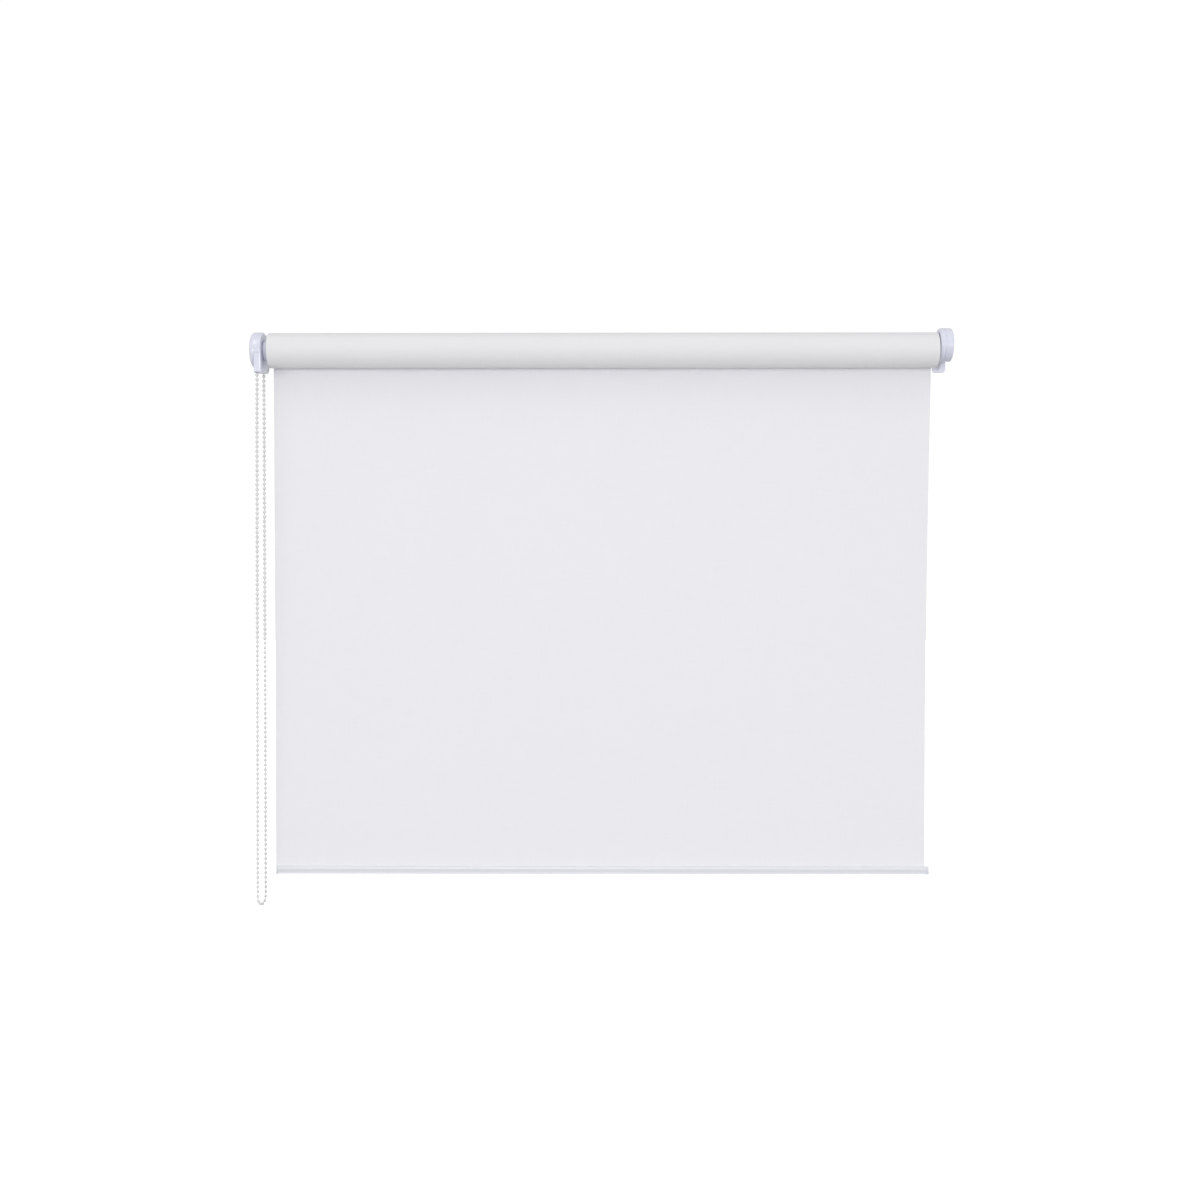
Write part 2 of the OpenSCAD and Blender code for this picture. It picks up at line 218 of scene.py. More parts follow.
# node helpers

def nodeGroup(name, inputs, outputs, kind="ShaderNodeTree"):
    tree = bpy.data.node_groups.new(name, kind)
    for label, socket, value in inputs:
        item = tree.interface.new_socket(label, in_out="INPUT", socket_type=socket)
        if value is not None:
            item.default_value = value
    for label, socket in outputs:
        tree.interface.new_socket(label, in_out="OUTPUT", socket_type=socket)
    return tree, tree.nodes.new("NodeGroupInput"), tree.nodes.new("NodeGroupOutput")


def maths(tree, operation, first, second=None):
    made = tree.nodes.new("ShaderNodeMath")
    made.operation = operation
    for slot, value in enumerate((first, second)):
        if value is None:
            continue
        if isinstance(value, (int, float)):
            made.inputs[slot].default_value = value
        else:
            tree.links.new(value, made.inputs[slot])
    return made.outputs[0]


def makeVariation():
    # slow change of tone over a surface, and a fine grain for bump
    tree, source, sink = nodeGroup("surfaceVariation", [
        ("Coordinates", "NodeSocketVector", None), ("Color", "NodeSocketColor", (0.8, 0.8, 0.8, 1)),
        ("Tone Scale", "NodeSocketFloat", 12.0), ("Tone Amount", "NodeSocketFloat", 0.04),
        ("Grain Scale", "NodeSocketFloat", 900.0), ("Roughness", "NodeSocketFloat", 0.4),
        ("Roughness Change", "NodeSocketFloat", 0.08)],
        [("Color", "NodeSocketColor"), ("Roughness", "NodeSocketFloat"), ("Height", "NodeSocketFloat")])
    slow = tree.nodes.new("ShaderNodeTexNoise")
    slow.inputs["Detail"].default_value = 3
    fine = tree.nodes.new("ShaderNodeTexNoise")
    fine.inputs["Detail"].default_value = 2
    link = tree.links.new
    link(source.outputs["Coordinates"], slow.inputs["Vector"])
    link(source.outputs["Coordinates"], fine.inputs["Vector"])
    link(source.outputs["Tone Scale"], slow.inputs["Scale"])
    link(source.outputs["Grain Scale"], fine.inputs["Scale"])
    wave = maths(tree, "SUBTRACT", slow.outputs["Fac"], 0.5)
    tone = maths(tree, "ADD", maths(tree, "MULTIPLY", wave, source.outputs["Tone Amount"]), 1.0)
    tint = tree.nodes.new("ShaderNodeVectorMath")
    tint.operation = "SCALE"
    link(source.outputs["Color"], tint.inputs[0])
    link(tone, tint.inputs["Scale"])
    link(tint.outputs[0], sink.inputs["Color"])
    grain = maths(tree, "SUBTRACT", fine.outputs["Fac"], 0.5)
    spread = maths(tree, "MULTIPLY", grain, source.outputs["Roughness Change"])
    link(maths(tree, "ADD", source.outputs["Roughness"], spread), sink.inputs["Roughness"])
    link(fine.outputs["Fac"], sink.inputs["Height"])
    return tree


def makeWeave():
    # plain weave from a map laid out in metres: warp along u, weft along v
    tree, source, sink = nodeGroup("plainWeave", [
        ("Map", "NodeSocketVector", None), ("Color", "NodeSocketColor", (0.8, 0.8, 0.8, 1)),
        ("Pitch", "NodeSocketFloat", 0.0005), ("Slub", "NodeSocketFloat", 0.03)],
        [("Color", "NodeSocketColor"), ("Height", "NodeSocketFloat")])
    link = tree.links.new
    split = tree.nodes.new("ShaderNodeSeparateXYZ")
    link(source.outputs["Map"], split.inputs[0])
    turns = maths(tree, "DIVIDE", math.pi, source.outputs["Pitch"])
    across = maths(tree, "MULTIPLY", split.outputs["X"], turns)
    down = maths(tree, "MULTIPLY", split.outputs["Y"], turns)
    weft = maths(tree, "MULTIPLY", maths(tree, "SINE", across), maths(tree, "COSINE", down))
    warp = maths(tree, "MULTIPLY", maths(tree, "COSINE", across), maths(tree, "SINE", down))
    height = maths(tree, "MAXIMUM", maths(tree, "ABSOLUTE", weft), maths(tree, "ABSOLUTE", warp))
    link(height, sink.inputs["Height"])
    tones = []
    for stretch in ((30.0, 2600.0, 1.0), (2600.0, 30.0, 1.0)):
        scaled = tree.nodes.new("ShaderNodeVectorMath")
        scaled.operation = "MULTIPLY"
        scaled.inputs[1].default_value = stretch
        link(source.outputs["Map"], scaled.inputs[0])
        yarn = tree.nodes.new("ShaderNodeTexNoise")
        yarn.inputs["Scale"].default_value = 1.0
        yarn.inputs["Detail"].default_value = 1
        link(scaled.outputs[0], yarn.inputs["Vector"])
        tones.append(yarn.outputs["Fac"])
    yarns = maths(tree, "SUBTRACT", maths(tree, "ADD", tones[0], tones[1]), 1.0)
    slub = maths(tree, "MULTIPLY", yarns, source.outputs["Slub"])
    # painted shade: the colour is darkened where the weave is low, between the threads
    weaveHollowShade = maths(tree, "MULTIPLY", maths(tree, "SUBTRACT", height, 1.0), 0.05)
    tint = tree.nodes.new("ShaderNodeVectorMath")
    tint.operation = "SCALE"
    link(source.outputs["Color"], tint.inputs[0])
    link(maths(tree, "ADD", maths(tree, "ADD", slub, weaveHollowShade), 1.0), tint.inputs["Scale"])
    link(tint.outputs[0], sink.inputs["Color"])
    return tree


variation = makeVariation()
weave = makeWeave()


def material(name, look):
    made = bpy.data.materials.new(name)
    made.use_nodes = True
    tree = made.node_tree
    shader = tree.nodes["Principled BSDF"]
    where = tree.nodes.new("ShaderNodeTexCoord")
    change = tree.nodes.new("ShaderNodeGroup")
    change.node_tree = variation
    change.inputs["Color"].default_value = (*look["color"], 1)
    change.inputs["Tone Scale"].default_value = look.get("toneScale", 12.0)
    change.inputs["Tone Amount"].default_value = look.get("tone", 0.04)
    change.inputs["Grain Scale"].default_value = look.get("grainScale", 900.0)
    change.inputs["Roughness"].default_value = look["roughness"]
    change.inputs["Roughness Change"].default_value = look.get("roughnessChange", 0.08)
    link = tree.links.new
    if "stretch" in look:
        turn = tree.nodes.new("ShaderNodeMapping")
        turn.inputs["Scale"].default_value = look["stretch"]
        link(where.outputs["Object"], turn.inputs["Vector"])
        link(turn.outputs["Vector"], change.inputs["Coordinates"])
    else:
        link(where.outputs["Object"], change.inputs["Coordinates"])
    color, height = change.outputs["Color"], change.outputs["Height"]
    if "pitch" in look:
        woven = tree.nodes.new("ShaderNodeGroup")
        woven.node_tree = weave
        woven.inputs["Pitch"].default_value = look["pitch"]
        woven.inputs["Slub"].default_value = look["slub"]
        link(where.outputs["UV"], woven.inputs["Map"])
        link(color, woven.inputs["Color"])
        color, height = woven.outputs["Color"], woven.outputs["Height"]
    link(color, shader.inputs["Base Color"])
    link(change.outputs["Roughness"], shader.inputs["Roughness"])
    bump = tree.nodes.new("ShaderNodeBump")
    bump.inputs["Strength"].default_value = look.get("bump", 0.1)
    bump.inputs["Distance"].default_value = look.get("depth", 0.00005)
    link(height, bump.inputs["Height"])
    link(bump.outputs["Normal"], shader.inputs["Normal"])
    for label, key in (("Metallic", "metallic"), ("IOR", "ior"), ("Sheen Weight", "sheen"),
                       ("Coat Weight", "coat"), ("Coat Roughness", "coatRoughness")):
        if key in look:
            shader.inputs[label].default_value = look[key]
    return made


finishes = {
    # one fabric in two colours: the hanging cloth is painted lighter than the wound cloth, painted light for
    # the light that passes through its single layer
    "cloth": {
        "color": (0.868, 0.866, 0.902), "roughness": 0.85, "tone": 0.012, "toneScale": 7.0,
        "pitch": 0.0005, "slub": 0.05, "bump": 0.35, "depth": 0.00012, "sheen": 0.05},
    # the same fabric on the roll, painted darker than the hanging cloth: painted shade
    "woundCloth": {
        "color": (0.825, 0.822, 0.838), "roughness": 0.85, "tone": 0.02, "toneScale": 9.0,
        "pitch": 0.0005, "slub": 0.05, "bump": 0.35, "depth": 0.00012, "sheen": 0.05},
    "whitePlastic": {
        "color": (0.745, 0.757, 0.875), "roughness": 0.16, "ior": 1.6, "tone": 0.03,
        "toneScale": 40.0, "grainScale": 1400.0, "bump": 0.06},
    "chainPlastic": {
        "color": (0.75, 0.76, 0.75), "roughness": 0.32, "tone": 0.06, "toneScale": 60.0, "bump": 0.05},
    "thread": {
        "color": (0.72, 0.72, 0.71), "roughness": 0.8, "tone": 0.1, "toneScale": 900.0, "bump": 0.5},
    "powderCoat": {
        "color": (0.76, 0.765, 0.865), "roughness": 0.36, "tone": 0.03, "toneScale": 30.0,
        "grainScale": 1800.0, "bump": 0.12, "coat": 0.15, "coatRoughness": 0.3},
    "railCoat": {
        "color": (0.83, 0.84, 0.89), "roughness": 0.3, "metallic": 0.1, "tone": 0.02, "toneScale": 8.0,
        "stretch": (0.04, 1, 1), "bump": 0.05, "coat": 0.3, "coatRoughness": 0.2},
    "millTube": {
        "color": (0.74, 0.75, 0.77), "roughness": 0.36, "metallic": 1.0, "tone": 0.08,
        "stretch": (0.02, 1, 1), "grainScale": 2500.0, "bump": 0.15},
    "zincSteel": {
        "color": (0.62, 0.63, 0.66), "roughness": 0.35, "metallic": 1.0, "tone": 0.15,
        "toneScale": 220.0, "bump": 0.1},
    "greyPlastic": {
        "color": (0.4, 0.41, 0.43), "roughness": 0.5, "tone": 0.06, "toneScale": 60.0, "bump": 0.1},
    "adhesive": {
        "color": (0.72, 0.64, 0.45), "roughness": 0.7, "tone": 0.08, "toneScale": 120.0, "bump": 0.15},
}
finish = {name: material(name, look) for name, look in finishes.items()}
print("materials made:", len(finish))


def dress(obj, finishName):
    obj.data.materials.clear()
    obj.data.materials.append(finish[finishName])
    return obj


def place(obj, finishName, slot, body, *replaced):
    dress(obj, finishName)
    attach(obj, body)
    if replaced:
        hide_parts(*replaced)
    return obj


# camera

view = {"lens": 44.17, "place": (0.0097, -1.8999, -0.2943), "pitch": -0.674, "yaw": -0.371}
camera = bpy.data.objects.new("camera", bpy.data.cameras.new("camera"))
scene.collection.objects.link(camera)
camera.data.sensor_width = 36
camera.data.lens = view["lens"]
camera.location = view["place"]
camera.rotation_euler = (math.radians(90 + view["pitch"]), 0, math.radians(-view["yaw"]))
scene.camera = camera


# control loop

chain = {"pitch": 6 * mm, "bead": 2.25 * mm, "thread": 0.7 * mm, "x": -433.55 * mm, "pockets": 19,
         "frontEnd": -24 * mm, "backEnd": -27 * mm}
chain["wheel"] = chain["pitch"] / 2 / math.sin(math.pi / chain["pockets"])
# half gap across, half gap in depth, height, in millimetres
loopRoute = [(0, 18.2, -40), (0.3, 17.8, -70), (0.7, 16.6, -140), (1.1, 15.2, -220), (1.5, 13.8, -300),
             (1.9, 12.5, -380), (2.3, 11.2, -460), (2.6, 10, -540), (2.9, 9, -610), (3.1, 8.4, -655),
             (3.2, 8.1, -678), (3.2, 8, -689), (3.1, 7.9, -696), (2.5, 6.4, -700.4),
             (1.4, 3.5, -703.2), (0, 0, -704.2)]


def loopPoints():
    front = [(chain["x"] - a * mm, axisY - b * mm, z * mm) for a, b, z in loopRoute]
    back = [(chain["x"] + a * mm, axisY + b * mm, z * mm) for a, b, z in loopRoute[-2::-1]]
    first = (chain["x"], axisY - chain["wheel"], chain["frontEnd"])
    last = (chain["x"], axisY + chain["wheel"], chain["backEnd"])
    return [Vector(p) for p in [first, *front, *back, last]]


def smoothLine(points, steps=16):
    line = []
    for i in range(len(points) - 1):
        a, b = points[max(i - 1, 0)], points[i]
        c, d = points[i + 1], points[min(i + 2, len(points) - 1)]
        for k in range(steps):
            t = k / steps
            line.append(0.5 * (2 * b + (c - a) * t + (2 * a - 5 * b + 4 * c - d) * t * t
                               + (3 * b - a - 3 * c + d) * t ** 3))
    return line + [points[-1]]


def evenly(line, spacing):
    # points at equal steps along a line, so that the first and last are its ends
    far = [0.0]
    for a, b in zip(line, line[1:]):
        far.append(far[-1] + (b - a).length)
    count = max(1, round(far[-1] / spacing))
    result, k = [], 0
    for step in range(count + 1):
        want = far[-1] * step / count
        while k < len(far) - 2 and far[k + 1] < want:
            k += 1
        share = (want - far[k]) / max(far[k + 1] - far[k], 1e-12)
        result.append(line[k].lerp(line[k + 1], min(max(share, 0), 1)))
    return result, far[-1]


def beadTree():
    tree, source, sink = nodeGroup("beadChain", [
        ("Geometry", "NodeSocketGeometry", None), ("Bead Count", "NodeSocketInt", 10),
        ("Bead Radius", "NodeSocketFloat", chain["bead"]),
        ("Thread Radius", "NodeSocketFloat", chain["thread"]),
        ("Bead Material", "NodeSocketMaterial", None), ("Thread Material", "NodeSocketMaterial", None)],
        [("Geometry", "NodeSocketGeometry")], "GeometryNodeTree")
    add, link = tree.nodes.new, tree.links.new
    curve = add("GeometryNodeMeshToCurve")
    link(source.outputs["Geometry"], curve.inputs["Mesh"])
    # a bead sits in the middle of each pitch: sample the line at half steps
    twice = add("ShaderNodeMath")
    twice.operation = "MULTIPLY_ADD"
    twice.inputs[1].default_value = 2
    twice.inputs[2].default_value = 1
    link(source.outputs["Bead Count"], twice.inputs[0])
    resample = add("GeometryNodeResampleCurve")
    link(curve.outputs["Curve"], resample.inputs["Curve"])
    link(twice.outputs[0], resample.inputs["Count"])
    points = add("GeometryNodeCurveToPoints")
    points.mode = "EVALUATED"
    link(resample.outputs["Curve"], points.inputs["Curve"])
    index = add("GeometryNodeInputIndex")
    odd = add("ShaderNodeMath")
    odd.operation = "MODULO"
    odd.inputs[1].default_value = 2
    link(index.outputs[0], odd.inputs[0])
    ball = add("GeometryNodeMeshIcoSphere")
    ball.inputs["Subdivisions"].default_value = 2
    link(source.outputs["Bead Radius"], ball.inputs["Radius"])
    rounded = add("GeometryNodeSetShadeSmooth")
    link(ball.outputs["Mesh"], rounded.inputs["Geometry"])
    copies = add("GeometryNodeInstanceOnPoints")
    link(points.outputs["Points"], copies.inputs["Points"])
    link(rounded.outputs["Geometry"], copies.inputs["Instance"])
    link(odd.outputs[0], copies.inputs["Selection"])
    link(points.outputs["Rotation"], copies.inputs["Rotation"])
    real = add("GeometryNodeRealizeInstances")
    link(copies.outputs["Instances"], real.inputs["Geometry"])
    beadSkin = add("GeometryNodeSetMaterial")
    link(real.outputs["Geometry"], beadSkin.inputs["Geometry"])
    link(source.outputs["Bead Material"], beadSkin.inputs["Material"])
    section = add("GeometryNodeCurvePrimitiveCircle")
    section.inputs["Resolution"].default_value = 8
    link(source.outputs["Thread Radius"], section.inputs["Radius"])
    tube = add("GeometryNodeCurveToMesh")
    tube.inputs["Fill Caps"].default_value = True
    link(resample.outputs["Curve"], tube.inputs["Curve"])
    link(section.outputs["Curve"], tube.inputs["Profile Curve"])
    threadSkin = add("GeometryNodeSetMaterial")
    link(tube.outputs["Mesh"], threadSkin.inputs["Geometry"])
    link(source.outputs["Thread Material"], threadSkin.inputs["Material"])
    joined = add("GeometryNodeJoinGeometry")
    link(beadSkin.outputs["Geometry"], joined.inputs["Geometry"])
    link(threadSkin.outputs["Geometry"], joined.inputs["Geometry"])
    link(joined.outputs["Geometry"], sink.inputs["Geometry"])
    return tree


beadString = beadTree()


def inputId(tree, label):
    return next(i.identifier for i in tree.interface.items_tree if i.name == label and i.in_out == "INPUT")


def stringBeads(name, line, count):
    obj = meshObject(name, line, [], edges=[(i, i + 1) for i in range(len(line) - 1)])
    maker = obj.modifiers.new("beads", "NODES")
    maker.node_group = beadString
    maker[inputId(beadString, "Bead Count")] = count
    maker[inputId(beadString, "Bead Radius")] = chain["bead"]
    maker[inputId(beadString, "Thread Radius")] = chain["thread"]
    maker[inputId(beadString, "Bead Material")] = finish["chainPlastic"]
    maker[inputId(beadString, "Thread Material")] = finish["thread"]
    return settle(obj)


loopLine, loopLength = evenly(smoothLine(loopPoints()), 1.5 * mm)
beadCount = round(loopLength / chain["pitch"])
loop = stringBeads("controlLoop", loopLine, beadCount)
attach(loop, "root")
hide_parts("chain")
print("control loop:", beadCount, "beads,", round(loopLength, 4), "m")

# the stretch inside the housing: down the back, over the wheel and down the front
x, reach = chain["x"], chain["wheel"]
overWheel = [Vector((x, axisY + reach, share * chain["backEnd"])) for share in (1, 0.5)]
for k in range(61):
    a = math.pi * k / 60
    overWheel.append(Vector((x, axisY + reach * math.cos(a), reach * math.sin(a))))
overWheel.append(Vector((x, axisY - reach, chain["frontEnd"])))
overLine, overLength = evenly(overWheel, 1.0 * mm)
wrap = stringBeads("chainOverWheel", overLine, round(overLength / chain["pitch"]))
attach(wrap, "root")
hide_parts("chain_wrap")
print("chain over the wheel laid")


# cloth

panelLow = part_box("fabric_panel")[0]
cloth = {"thick": 0.55 * mm, "neckRight": 7 * mm, "neckLeft": 1.5 * mm, "curl": 1.6 * mm,
         "curlShare": 0.035, "ripple": 0.5 * mm, "across": 168, "down": 140}


def clothEdges(t):
    # left and right edge at a share t of the way down
    right = rollHalf - cloth["neckRight"] * (1 - (1 - t) ** 2)
    return -rollHalf + cloth["neckLeft"] * t, right


def buildPanel():
    across, total = cloth["across"] + 1, cloth["down"] + 1
    points, uvs = [], []
    for side in (0, 1):
        for k in range(total):
            t = k / cloth["down"]
            z = panelLow[2] * t
            left, right = clothEdges(t)
            off = cloth["thick"] * min(1.0, 0.3 + 60 * t) * side
            # flat where it meets the roll and where it runs into the rail, in the raised state too
            hang = min(1.0, 3 * t, max(0.0, 0.87 - t) / 0.2)
            for i in range(across):
                u = i / cloth["across"]
                x = left + (right - left) * u
                edge = max(0.0, 1 - min(u, 1 - u) / cloth["curlShare"])
                swell = cloth["ripple"] * (math.sin(7.1 * x + 1.3) * math.sin(5.3 * z + 0.4)
                                           + 0.6 * math.sin(23 * x + 2.1 * z))
                bend = hang * (cloth["curl"] * edge * edge + swell)
                points.append((x, panelLow[1] + off + bend, z))
                uvs.append((x, z))
    faces = []
    for r in range(total - 1):
        for i in range(across - 1):
            a = r * across + i
            b = a + total * across
            faces.append([a, a + across, a + across + 1, a + 1])
            faces.append([b, b + 1, b + across + 1, b + across])
    half = total * across
    border = [r * across for r in range(total)]
    border += [(total - 1) * across + i for i in range(1, across)]
    border += [r * across + across - 1 for r in range(total - 2, -1, -1)]
    border += [i for i in range(across - 2, 0, -1)]
    for a, b in zip(border, border[1:] + border[:1]):
        faces.append([a, a + half, b + half, b])
    return smoothShade(faceOut(meshObject("hangingCloth", points, faces, uvs)), 60)


# the hanging panel takes the lighter copy of the fabric colour, painted light
panel = place(buildPanel(), "cloth", "cloth", "root", "fabric_panel")
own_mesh(panel)


wound = {"leftEnd": -rollHalf + 0.4 * mm, "rightEnd": rollHalf + 1.6 * mm, "chamfer": 0.12 * mm,
         "steps": 120, "along": 40}
# one layer's edge on an end face: share of a layer inwards, and how proud it stands in millimetres
layerEdge = [(0.0, 0.0), (0.25, 0.10), (0.75, 0.10), (0.97, -0.25)]


def buildRoll():
    # a spiral of layers: its outer end is where the hanging cloth leaves, at the back
    layers = round((rollRadius - tubeRadius) / cloth["thick"])
    step = (rollRadius - tubeRadius) / layers
    steps = wound["steps"]
    points, uvs, faces = [], [], []
    rings = []
    # the long outer skin, then each end face drawn as fine grooves between layers
    lowEnd, highEnd = wound["leftEnd"], wound["rightEnd"]
    xs = [lowEnd + (highEnd - lowEnd) * k / wound["along"] for k in range(1, wound["along"])]
    xs = [lowEnd + wound["chamfer"]] + xs + [highEnd - wound["chamfer"]]
    columns = [(level - f, d) for level in range(layers, 0, -1) for f, d in layerEdge]
    leftEnd = [(level, lowEnd - d * mm) for level, d in columns]
    rightEnd = [(level, highEnd + d * mm) for level, d in columns]
    path = leftEnd[::-1] + [(layers, x) for x in xs] + rightEnd
    for level, x in path:
        ring = []
        for k in range(steps + 1):
            turn = k / steps
            radius = max(tubeRadius + 0.02 * mm, tubeRadius + step * (level - turn * 0.999))
            a = 2 * math.pi * turn
            ring.append(len(points))
            points.append((x, axisY + radius * math.cos(a), radius * math.sin(a)))
            uvs.append((x, -radius * a))
        rings.append(ring)
    for first, second in zip(rings, rings[1:]):
        for k in range(steps):
            faces.append([first[k], first[k + 1], second[k + 1], second[k]])
        faces.append([first[steps], first[0], second[0], second[steps]])
    return smoothShade(faceOut(meshObject("woundCloth", points, faces, uvs)), 50)


# the roll takes the darker copy of the fabric colour, painted shade
place(buildRoll(), "woundCloth", "cloth", "roller", "fabric_roll")
print("cloth wound")


# left end: housing, bracket and wheel

left = {"face": -443.5 * mm, "radius": 23 * mm, "round": 5.6 * mm, "wall": 1.5 * mm, "guard": -430 * mm,
        "guardThick": 1.5 * mm, "guardEdge": 4 * mm, "coverEnd": -432.5 * mm, "snapRadius": 20.9 * mm,
        "skirtHalf": 22 * mm, "skirtFront": -31 * mm, "skirtBack": -26.5 * mm, "skirtOut": -436.6 * mm,
        "skirtTop": -5 * mm, "chainHole": 2.8 * mm, "armOut": -441.8 * mm, "armThick": 1.8 * mm,
        "armRadius": 16 * mm, "slotHalf": 18.6 * mm}
wheel = {"outer": -436.8 * mm, "inner": -430.3 * mm, "radius": 19 * mm, "pocket": 2.45 * mm,
         "web": 12 * mm, "bore": 6.55 * mm, "neck": 9 * mm, "collar": -428.1 * mm,
         "collarEnd": -424 * mm, "collarRadius": 13 * mm}


def buildChainCover():
    r, w = left["radius"], left["wall"]
    x0, x1 = left["face"], left["coverEnd"]
    profile = roundCorners([(0, x0), (r, x0), (r, x1), (r - w, x1), (r - w, x0 + w), (0, x0 + w)],
                           [0, left["round"], 0.3 * mm, 0.2 * mm, left["round"] - w, 0], 12)
    cover = lathe("chainCover", profile)
    # room for the skirt below, and a slot at the back for the bracket's arm
    gap, tall, deep = 0.2 * mm, left["slotHalf"], left["skirtHalf"]
    below = block((left["skirtOut"] - gap, axisY - deep - gap, -40 * mm),
                  (left["guard"], axisY + deep + gap, left["skirtTop"] + gap))
    slot = block((left["armOut"] - gap, axisY + 8 * mm, -tall),
                 (left["armOut"] + left["armThick"] + gap, 0, tall))
    cut(cover, below, slot)
    return softenEdges(cover, 0.18 * mm, 2, 50)


def buildChainGuard():
    r, hole, bore = left["radius"], wheel["neck"] + 0.3 * mm, left["snapRadius"]
    x0, x1 = left["guard"], left["guard"] + left["guardThick"]
    rim = left["coverEnd"] + 0.05 * mm
    profile = [(hole, x0), (bore, x0), (bore, rim), (r, rim), (r, x1), (hole, x1)]
    radii = [0, 0.2 * mm, 0, 0.25 * mm, left["guardEdge"], 0.4 * mm]
    disc = lathe("chainGuard", roundCorners(profile, radii, 10))
    half, low, back, top = left["skirtHalf"], left["skirtFront"], left["skirtBack"], left["skirtTop"]
    # the floor rises towards the wall
    front, rear = axisY - half, axisY + half
    outline = roundCorners([(front, low), (rear, back), (rear, top), (front, top)],
                           [3 * mm, 2 * mm, 0, 0], 8)
    skirt = prism("skirt", outline, left["skirtOut"], x1 - 0.02 * mm)
    hollow = block((left["skirtOut"] + 0.7 * mm, front + 1 * mm, -24.5 * mm), (x0, rear - 1 * mm, 0))
    cut(skirt, hollow, roundBar(left["skirtOut"] - 1 * mm, x0, bore, 96),
        roundBar(x0 - 1 * mm, x1 + 1 * mm, 14 * mm, 96))
    for side in (-1, 1):
        ring = circle((chain["x"], axisY + side * chain["wheel"]), left["chainHole"], 32)
        cut(skirt, prism("cutter", ring, low - 2 * mm, -24 * mm, "z"))
    unite(disc, skirt)
    return softenEdges(disc, 0.25 * mm, 2, 50)


flange = {"half": 24.5 * mm, "width": 17 * mm, "thick": 2.5 * mm, "corner": 4 * mm,
          "holeOut": 436.5 * mm, "holeUp": 8 * mm, "hole": 2.25 * mm}


def wallFlange(name, x0):
    half, x1 = flange["half"], x0 + flange["width"]
    outline = roundCorners([(x0, -half), (x1, -half), (x1, half), (x0, half)], flange["corner"], 8)
    return prism(name, outline, -flange["thick"], 0, "y")


def screwHoles(side):
    return [prism("cutter", circle((side * flange["holeOut"], up * flange["holeUp"]), flange["hole"], 40),
                  -5 * mm, 1 * mm, "y") for up in (-1, 1)]


def buildLeftBracket():
    reach, x0 = left["armRadius"], left["armOut"]
    x1 = x0 + left["armThick"]
    arc = [(axisY - reach * math.sin(math.pi * k / 24), -reach * math.cos(math.pi * k / 24))
           for k in range(25)]
    arm = prism("arm", arc + [(-1 * mm, reach + 4 * mm), (-1 * mm, -reach - 4 * mm)], x0, x1)
    bracket = wallFlange("leftBracket", -446 * mm)
    unite(bracket, arm)
    # countersunk hole for the hub's screw
    wide, narrow, past = 3.9 * mm, 2.1 * mm, 1 * mm
    sink = [(0, x0 - past), (wide, x0 - past), (wide, x0), (narrow, x1), (narrow, x1 + past), (0, x1 + past)]
    cut(bracket, *screwHoles(-1))
    cut(bracket, lathe("cutter", sink, 0, 40))
    return softenEdges(bracket, 0.35 * mm, 3, 50)


def buildWheel():
    x0, x1, middle = wheel["outer"], wheel["inner"], chain["x"]
    pocket, pitchRadius, outer = wheel["pocket"], chain["wheel"], wheel["radius"]
    count, perPocket = chain["pockets"], 28
    outline = []
    for k in range(count * perPocket):
        a = 2 * math.pi * k / (count * perPocket)
        off = (a + math.pi / count) % (2 * math.pi / count) - math.pi / count
        inside = pocket ** 2 - (pitchRadius * math.sin(off)) ** 2
        reach = outer
        if inside > 0:
            reach = min(outer, pitchRadius * math.cos(off) - math.sqrt(inside))
        outline.append((axisY + reach * math.cos(a), reach * math.sin(a)))
    toothed = prism("chainWheel", outline, middle - pocket, middle + pocket)
    # cheeks on both sides of the pockets, then the neck and its collar
    rim, web, side = outer - 0.6 * mm, wheel["web"], pocket - 0.01 * mm
    neck, collar, end, big = wheel["neck"], wheel["collar"], wheel["collarEnd"], wheel["collarRadius"]
    body = [(0, x0), (rim, x0), (rim, middle - side), (web, middle - side), (web, middle + side),
            (rim, middle + side), (rim, x1), (neck, x1), (neck, collar), (big, collar), (big, end), (0, end)]
    radii = [r * mm for r in (0, 0.4, 0.1, 0, 0, 0.1, 0.4, 0.5, 0.2, 0.7, 0.4, 0)]
    unite(toothed, lathe("body", roundCorners(body, radii, 5)))
    cut(toothed, roundBar(x0 - 1 * mm, -420 * mm, wheel["bore"]))
    return softenEdges(toothed, 0.12 * mm, 2, 50)


place(buildChainCover(), "whitePlastic", "white_plastic", "root", "chain_cover")
place(buildChainGuard(), "whitePlastic", "white_plastic", "root", "chain_guard")
place(buildLeftBracket(), "powderCoat", "white_metal", "root", "left_bracket")
place(buildWheel(), "whitePlastic", "white_plastic", "roller", "chain_wheel")
print("left end built")


# right end: bracket, cap and bush

right = {"plate": 430.5 * mm, "plateThick": 2 * mm, "plateRadius": 19.4 * mm, "foot": 22.5 * mm,
         "flange": 424 * mm, "cap": 441.4 * mm, "radius": 21 * mm, "up": 6.4 * mm, "edge": 1.8 * mm,
         "wall": 1.5 * mm, "lip": 425 * mm, "lipRadius": 21.2 * mm, "mouth": 12 * mm,
         "bushHole": 3.05 * mm, "bushRadius": 5 * mm, "bushRim": 7 * mm, "bushEnd": 438 * mm}


def buildRightBracket():
    x0, r, up = right["plate"], right["plateRadius"], right["up"]
    x1, foot = x0 + right["plateThick"], right["foot"]
    # the arm's edges leave the round plate along its tangents
    arc = [(axisY + r * math.cos(a), up + r * math.sin(a))
           for a in [math.radians(78 + (282 - 78) * k / 72) for k in range(73)]]
    arm = prism("arm", arc + [(-1 * mm, -foot), (-1 * mm, foot)], x0, x1)
    bracket = wallFlange("rightBracket", right["flange"])
    unite(bracket, arm)
    cut(bracket, *screwHoles(1))
    cut(bracket, roundBar(x0 - 1 * mm, x1 + 1 * mm, right["bushRadius"]))
    return softenEdges(bracket, 0.35 * mm, 3, 50)


